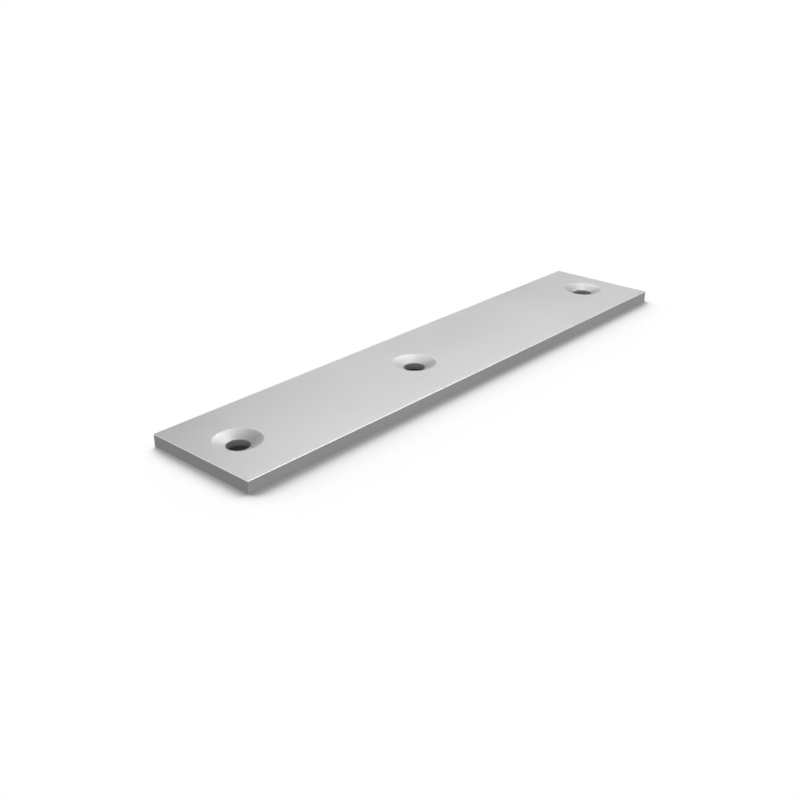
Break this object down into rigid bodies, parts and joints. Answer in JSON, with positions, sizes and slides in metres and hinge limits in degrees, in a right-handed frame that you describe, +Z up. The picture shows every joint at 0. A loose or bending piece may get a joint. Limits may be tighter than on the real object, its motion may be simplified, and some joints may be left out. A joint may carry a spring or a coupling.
{
  "type": "extrusion joining plate",
  "caption": "Flat rectangular metal bar with a row of countersunk screw holes, laid across the joint between framing extrusions and screwed down from above.",
  "frame": {"origin": "centre of the underside, the face that seats on the extrusions", "axes": "+X along the bar, with the middle hole on the -X side of the centre; +Y across the bar; +Z up, out of the countersinks"},
  "size_m": [0.15, 0.03, 0.003],
  "materials": {
    "satin_aluminium": "satin"
  },
  "bodies": {
    "root": {"joining_plate": "satin_aluminium"}
  },
  "joints": []
}
